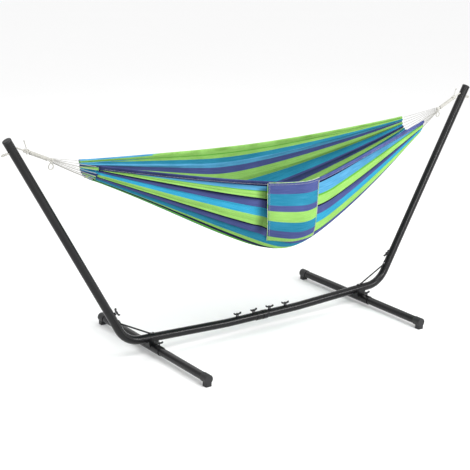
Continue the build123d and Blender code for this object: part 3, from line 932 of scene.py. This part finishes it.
def rope_tail(side, hand, sizes):
    """The short end that stands up from the tie knot. Gives back its frayed fibres."""
    centre = on_pull(hand, TIE_KNOT_AT)
    route = [centre + Vector((hand * x, y, z)) for x, y, z in TAIL_OFFSETS]
    line = smooth_line(route)
    mesh = laid_rope("tie_tail", line, sizes.tail_diameter, strands=3, pitch=0.016, step=0.0018)
    tail = rope_piece(f"tie_tail_{side}.laid", mesh, replaced=f"tie_tail_{side}")
    rng = random.Random(11 + hand)
    tip, out = line[-1], (line[-1] - line[-3]).normalized()
    fibres = []
    for _ in range(FIBRE_COUNT):
        lean = Vector((rng.uniform(-1, 1), rng.uniform(-1, 1), rng.uniform(-0.3, 0.5))) * 0.0045
        root = tip - out * rng.uniform(0.003, 0.008) + lean * 0.25
        fibres.append(smooth_line([root, root + out * 0.005 + lean * 0.3, root + out * 0.009 + lean], 4))
    fray = rope_piece(f"tie_tail_{side}.fray",
                      tube_mesh("fray", fibres, FIBRE_RADIUS, sides=6, taper=lambda t: 1.1 - 0.7 * t))
    return fray


def u_places(half_width, top_z, bottom_z):
    """Where the cords stand on a U-shaped edge: evenly along it, from the near top to the far top."""
    return evenly(section_curve(half_width, top_z, bottom_z, steps=400), count=CLEW_COUNT - 1)


def clew_routes(hand, sizes):
    """Each cord's control points, from the clew knot to the gathered end of the cloth."""
    fan_start = on_pull(hand, FAN_START_AT)
    starts = u_places(0.011, fan_start.z + 0.010, fan_start.z - 0.010)
    ends = u_places(*bed_section(BED_HALF_LENGTH))
    routes = []
    for (y0, z0), (y1, z1) in zip(starts, ends):
        start = Vector((fan_start.x, y0, z0))
        end = Vector((hand * (BED_HALF_LENGTH + sizes.clew_diameter / 2), y1, z1))
        routes.append([start, (start + end) / 2 - UP * 0.0025, end])
    return routes


class HAMMOCK_OT_clews(bpy.types.Operator):
    """Make the fan of cords at each end of the cloth"""

    bl_idname = "hammock.clews"
    bl_label = "Clew cords"

    def execute(self, context):
        sizes, _colours = props()
        for side, hand in SIDES:
            for number, route in enumerate(clew_routes(hand, sizes), start=1):
                line = smooth_line(route)
                mesh = laid_rope("clew_cord", line, sizes.clew_diameter, strands=2, pitch=0.011, step=0.0022,
                                 sides=6)
                # The clew cords take the darker copy of the cotton, painted shade for the fan.
                cord = rope_piece(f"clew_cord_{side}_{number}", mesh, look="cotton_painted_shade",
                                  replaced=f"clew_cords_{side}" if number == 1 else None)
        return {"FINISHED"}


# ---- the sewn pieces ------------------------------------------------------------------------------
BED_STEPS_ALONG = 132
BED_STEPS_ACROSS = 330
POCKET_STEPS = 56
END_HEM = 0.030                         # how far the hems at the gathered ends reach in
THREAD_RADIUS = 0.0006
EDGING_RADIUS = 0.0014


def sheet_mesh(name, rows, pattern_along):
    """A grid whose points come from rows of (place, pattern share, shading), with the "cloth" UV map. The shading
    is stored as painted shade.
    """
    long, wide = len(rows) - 1, len(rows[0]) - 1
    bm = bmesh.new()
    bmesh.ops.create_grid(bm, x_segments=long, y_segments=wide, size=0.5)
    uv = bm.loops.layers.uv.new("cloth")
    painted_shade = bm.verts.layers.float.new("painted_shade")
    index = {vert: (round((vert.co.x + 0.5) * long), round((vert.co.y + 0.5) * wide)) for vert in bm.verts}
    for face in bm.faces:
        for loop in face.loops:
            i, j = index[loop.vert]
            loop[uv].uv = (pattern_along[i], rows[i][j][1])
    for vert, (i, j) in index.items():
        vert.co = rows[i][j][0]
        # Each point's painted shade.
        vert[painted_shade] = rows[i][j][2]
    return mesh_of(bm, name)


def stitched_row(line, outward, spacing):
    """Short stitches along a line, each a small bent thread that stands on the cloth."""
    sunk, proud = 0.0003, 0.0005
    stitches = []
    marks = evenly(line, spacing)
    for a, b in zip(marks, marks[1:]):
        stitches.append([a.lerp(b, 0.18) - outward * sunk, a.lerp(b, 0.5) + outward * proud,
                         a.lerp(b, 0.82) - outward * sunk])
    return stitches


def add_thickness(cloth, thickness):
    """Gives a sheet its wall, half to each side."""
    wall = cloth.modifiers.new("thickness", "SOLIDIFY")
    wall.thickness = thickness
    wall.offset = 0.0
    return wall


class HAMMOCK_OT_bed(bpy.types.Operator):
    """Make the striped cloth with its folds, hems and stitching"""

    bl_idname = "hammock.bed"
    bl_label = "Striped cloth"

    def execute(self, context):
        sizes, _colours = props()
        stations = [BED_HALF_LENGTH * (2 * i / BED_STEPS_ALONG - 1) for i in range(BED_STEPS_ALONG + 1)]
        rows = [bed_column(x, BED_STEPS_ACROSS, sizes) for x in stations]
        cloth = link("hammock_bed.cloth", sheet_mesh("hammock_bed", rows, stations), finish("bed_cloth"),
                     "hammock")
        ends = cloth.vertex_groups.new(name="end_hems")
        for vert in cloth.data.vertices:
            if abs(vert.co.x) > BED_HALF_LENGTH - END_HEM:
                ends.add([vert.index], 1.0, "REPLACE")
        wall = add_thickness(cloth, sizes.cloth_thickness * HEM_LAYERS)
        wall.vertex_group = "end_hems"
        wall.thickness_vertex_group = 1 / HEM_LAYERS
        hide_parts("hammock_bed")
        stitches = []
        for column, out in ((2, FAR), (-3, -FAR)):
            line = [row[column][0] + out * (sizes.cloth_thickness / 2) for row in rows]
            stitches += stitched_row(line, out, sizes.stitch)
        for row in (rows[2], rows[-3]):
            line = [place for place, _share, _shaded in row[HEM_STEPS:-HEM_STEPS:3]]
            stitches += stitched_row(line, Vector((0, 0, 0)), sizes.stitch)
        rope_piece("hammock_bed.stitches", tube_mesh("hammock_stitches", stitches, THREAD_RADIUS, sides=6))
        return {"FINISHED"}


def pocket_point(across, down, sizes, lift=0.0):
    """A point of the pocket's cloth and its outward direction, by shares across and down it."""
    arch = math.sin(math.pi * min(max(down, 0.0), 1.0))
    x = between(POCKET_SPAN, across) + sizes.pocket_lean * down * (1.3 - 0.6 * across)
    x += 0.012 * (max(down, 0.0) ** 5 - arch)
    points, length = section_line(x, SECTION_STEPS)
    from_hem = (POCKET_START + POCKET_DROP * down) / length
    step = min(from_hem * SECTION_STEPS, SECTION_STEPS - 1)
    k = int(step)
    (point, normal), (after, _normal) = points[SECTION_STEPS - k], points[SECTION_STEPS - 1 - k]
    point = point.lerp(after, step - k)
    fullness = math.sin(math.pi * min(max(across, 0.0), 1.0)) ** 0.7
    profile = (0.55 + 0.8 * down) * (1 - down**5)
    slack = 0.0016 * math.sin(9 * across + 4 * down) * fullness
    gap = 0.0052 + sizes.pocket_bulge * fullness * max(profile, 0.0) + slack + lift
    mouth = (0.010 * across + 0.004 * fullness) * (1 - down) ** 4
    placed = point - normal * gap
    tilt = hem_tilt(x / BED_HALF_LENGTH, 1 - from_hem, sizes)
    place = Vector((x, placed.x, placed.y + mouth + tilt * placed.x))
    return place, Vector((0, -normal.x, -normal.y))


def pocket_rows(sizes):
    """The pocket's grid of (place, pattern share, shading), shaded along its seams."""
    rows = []
    for i in range(POCKET_STEPS + 1):
        row = []
        for j in range(POCKET_STEPS + 1):
            across, down = i / POCKET_STEPS, j / POCKET_STEPS
            place, _out = pocket_point(across, down, sizes)
            near_seam = min(across, 1 - across, (1 - down) * 1.05)
            # Painted shade along the pocket's seams.
            row.append((place, min(down, 0.999), 0.30 * max(0.0, 1 - near_seam / 0.035)))
        rows.append(row)
    return rows


class HAMMOCK_OT_pocket(bpy.types.Operator):
    """Make the sewn pocket with its pale edging and stitches"""

    bl_idname = "hammock.pocket"
    bl_label = "Pocket"

    def execute(self, context):
        sizes, _colours = props()
        width = POCKET_SPAN[1] - POCKET_SPAN[0]
        pattern_along = [width * i / POCKET_STEPS for i in range(POCKET_STEPS + 1)]
        cloth = link("pocket.cloth", sheet_mesh("pocket", pocket_rows(sizes), pattern_along),
                     finish("pocket_cloth"), "hammock")
        add_thickness(cloth, sizes.cloth_thickness)
        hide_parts("pocket")

        count, inset, lift = 60, 0.028, 0.001

        def down_at(across, first=0, last=count):
            """Points down the pocket, each with its outward direction."""
            return [pocket_point(across, k / count, sizes, lift) for k in range(first, last + 1)]

        def across_at(down, first=0, last=count):
            """Points across the pocket, each with its outward direction."""
            return [pocket_point(k / count, down, sizes, lift) for k in range(first, last + 1)]

        edging = [[place for place, _out in line] for line in (down_at(0.0), down_at(1.0), across_at(0.0))]
        stitches = []
        for line in (down_at(inset, 2, count - 1), down_at(1 - inset, 2, count - 1),
                     across_at(inset, 2, count - 2), across_at(1 - inset, 2, count - 2)):
            stitches += stitched_row([place for place, _out in line], line[count // 2][1], sizes.stitch)
        link("pocket.edging", tube_mesh("pocket_edging", edging, EDGING_RADIUS), finish("edging_tape"),
             "hammock")
        rope_piece("pocket.stitches", tube_mesh("pocket_stitches", stitches, THREAD_RADIUS, sides=6))
        return {"FINISHED"}


# ---- the panel, and the run -----------------------------------------------------------------------
PIECE_OPERATORS = ("studio", "stand", "tie_ropes", "clews", "bed", "pocket")


class HAMMOCK_PT_sidebar(bpy.types.Panel):
    """Lists the hammock's pieces, sizes and colours"""

    bl_label = "Striped Hammock"
    bl_idname = "HAMMOCK_PT_sidebar"
    bl_space_type = "VIEW_3D"
    bl_region_type = "UI"
    bl_category = "Hammock"

    def draw(self, context):
        layout = self.layout
        for name in PIECE_OPERATORS:
            layout.operator(f"hammock.{name}")
        for group in (context.scene.hammock_sizes, context.scene.hammock_colours):
            for key in group.__annotations__:
                layout.prop(group, key)


CLASSES = (HammockSizes, HammockColours, HAMMOCK_OT_studio, HAMMOCK_OT_stand, HAMMOCK_OT_tie_ropes,
           HAMMOCK_OT_clews, HAMMOCK_OT_bed, HAMMOCK_OT_pocket, HAMMOCK_PT_sidebar)


def register():
    """Adds the operators, the panel and the sizes and colours."""
    for item in CLASSES:
        bpy.utils.register_class(item)
    bpy.types.Scene.hammock_sizes = PointerProperty(type=HammockSizes)
    bpy.types.Scene.hammock_colours = PointerProperty(type=HammockColours)


def unregister():
    """Takes them all away again."""
    del bpy.types.Scene.hammock_colours
    del bpy.types.Scene.hammock_sizes
    for item in reversed(CLASSES):
        bpy.utils.unregister_class(item)


def main():
    """Builds every piece in order."""
    for leftover in ("Cube", "Light", "Camera"):
        if leftover in bpy.data.objects:
            bpy.data.objects.remove(bpy.data.objects[leftover])
    register()
    for name in PIECE_OPERATORS:
        getattr(bpy.ops.hammock, name)()


if __name__ == "__main__":
    main()
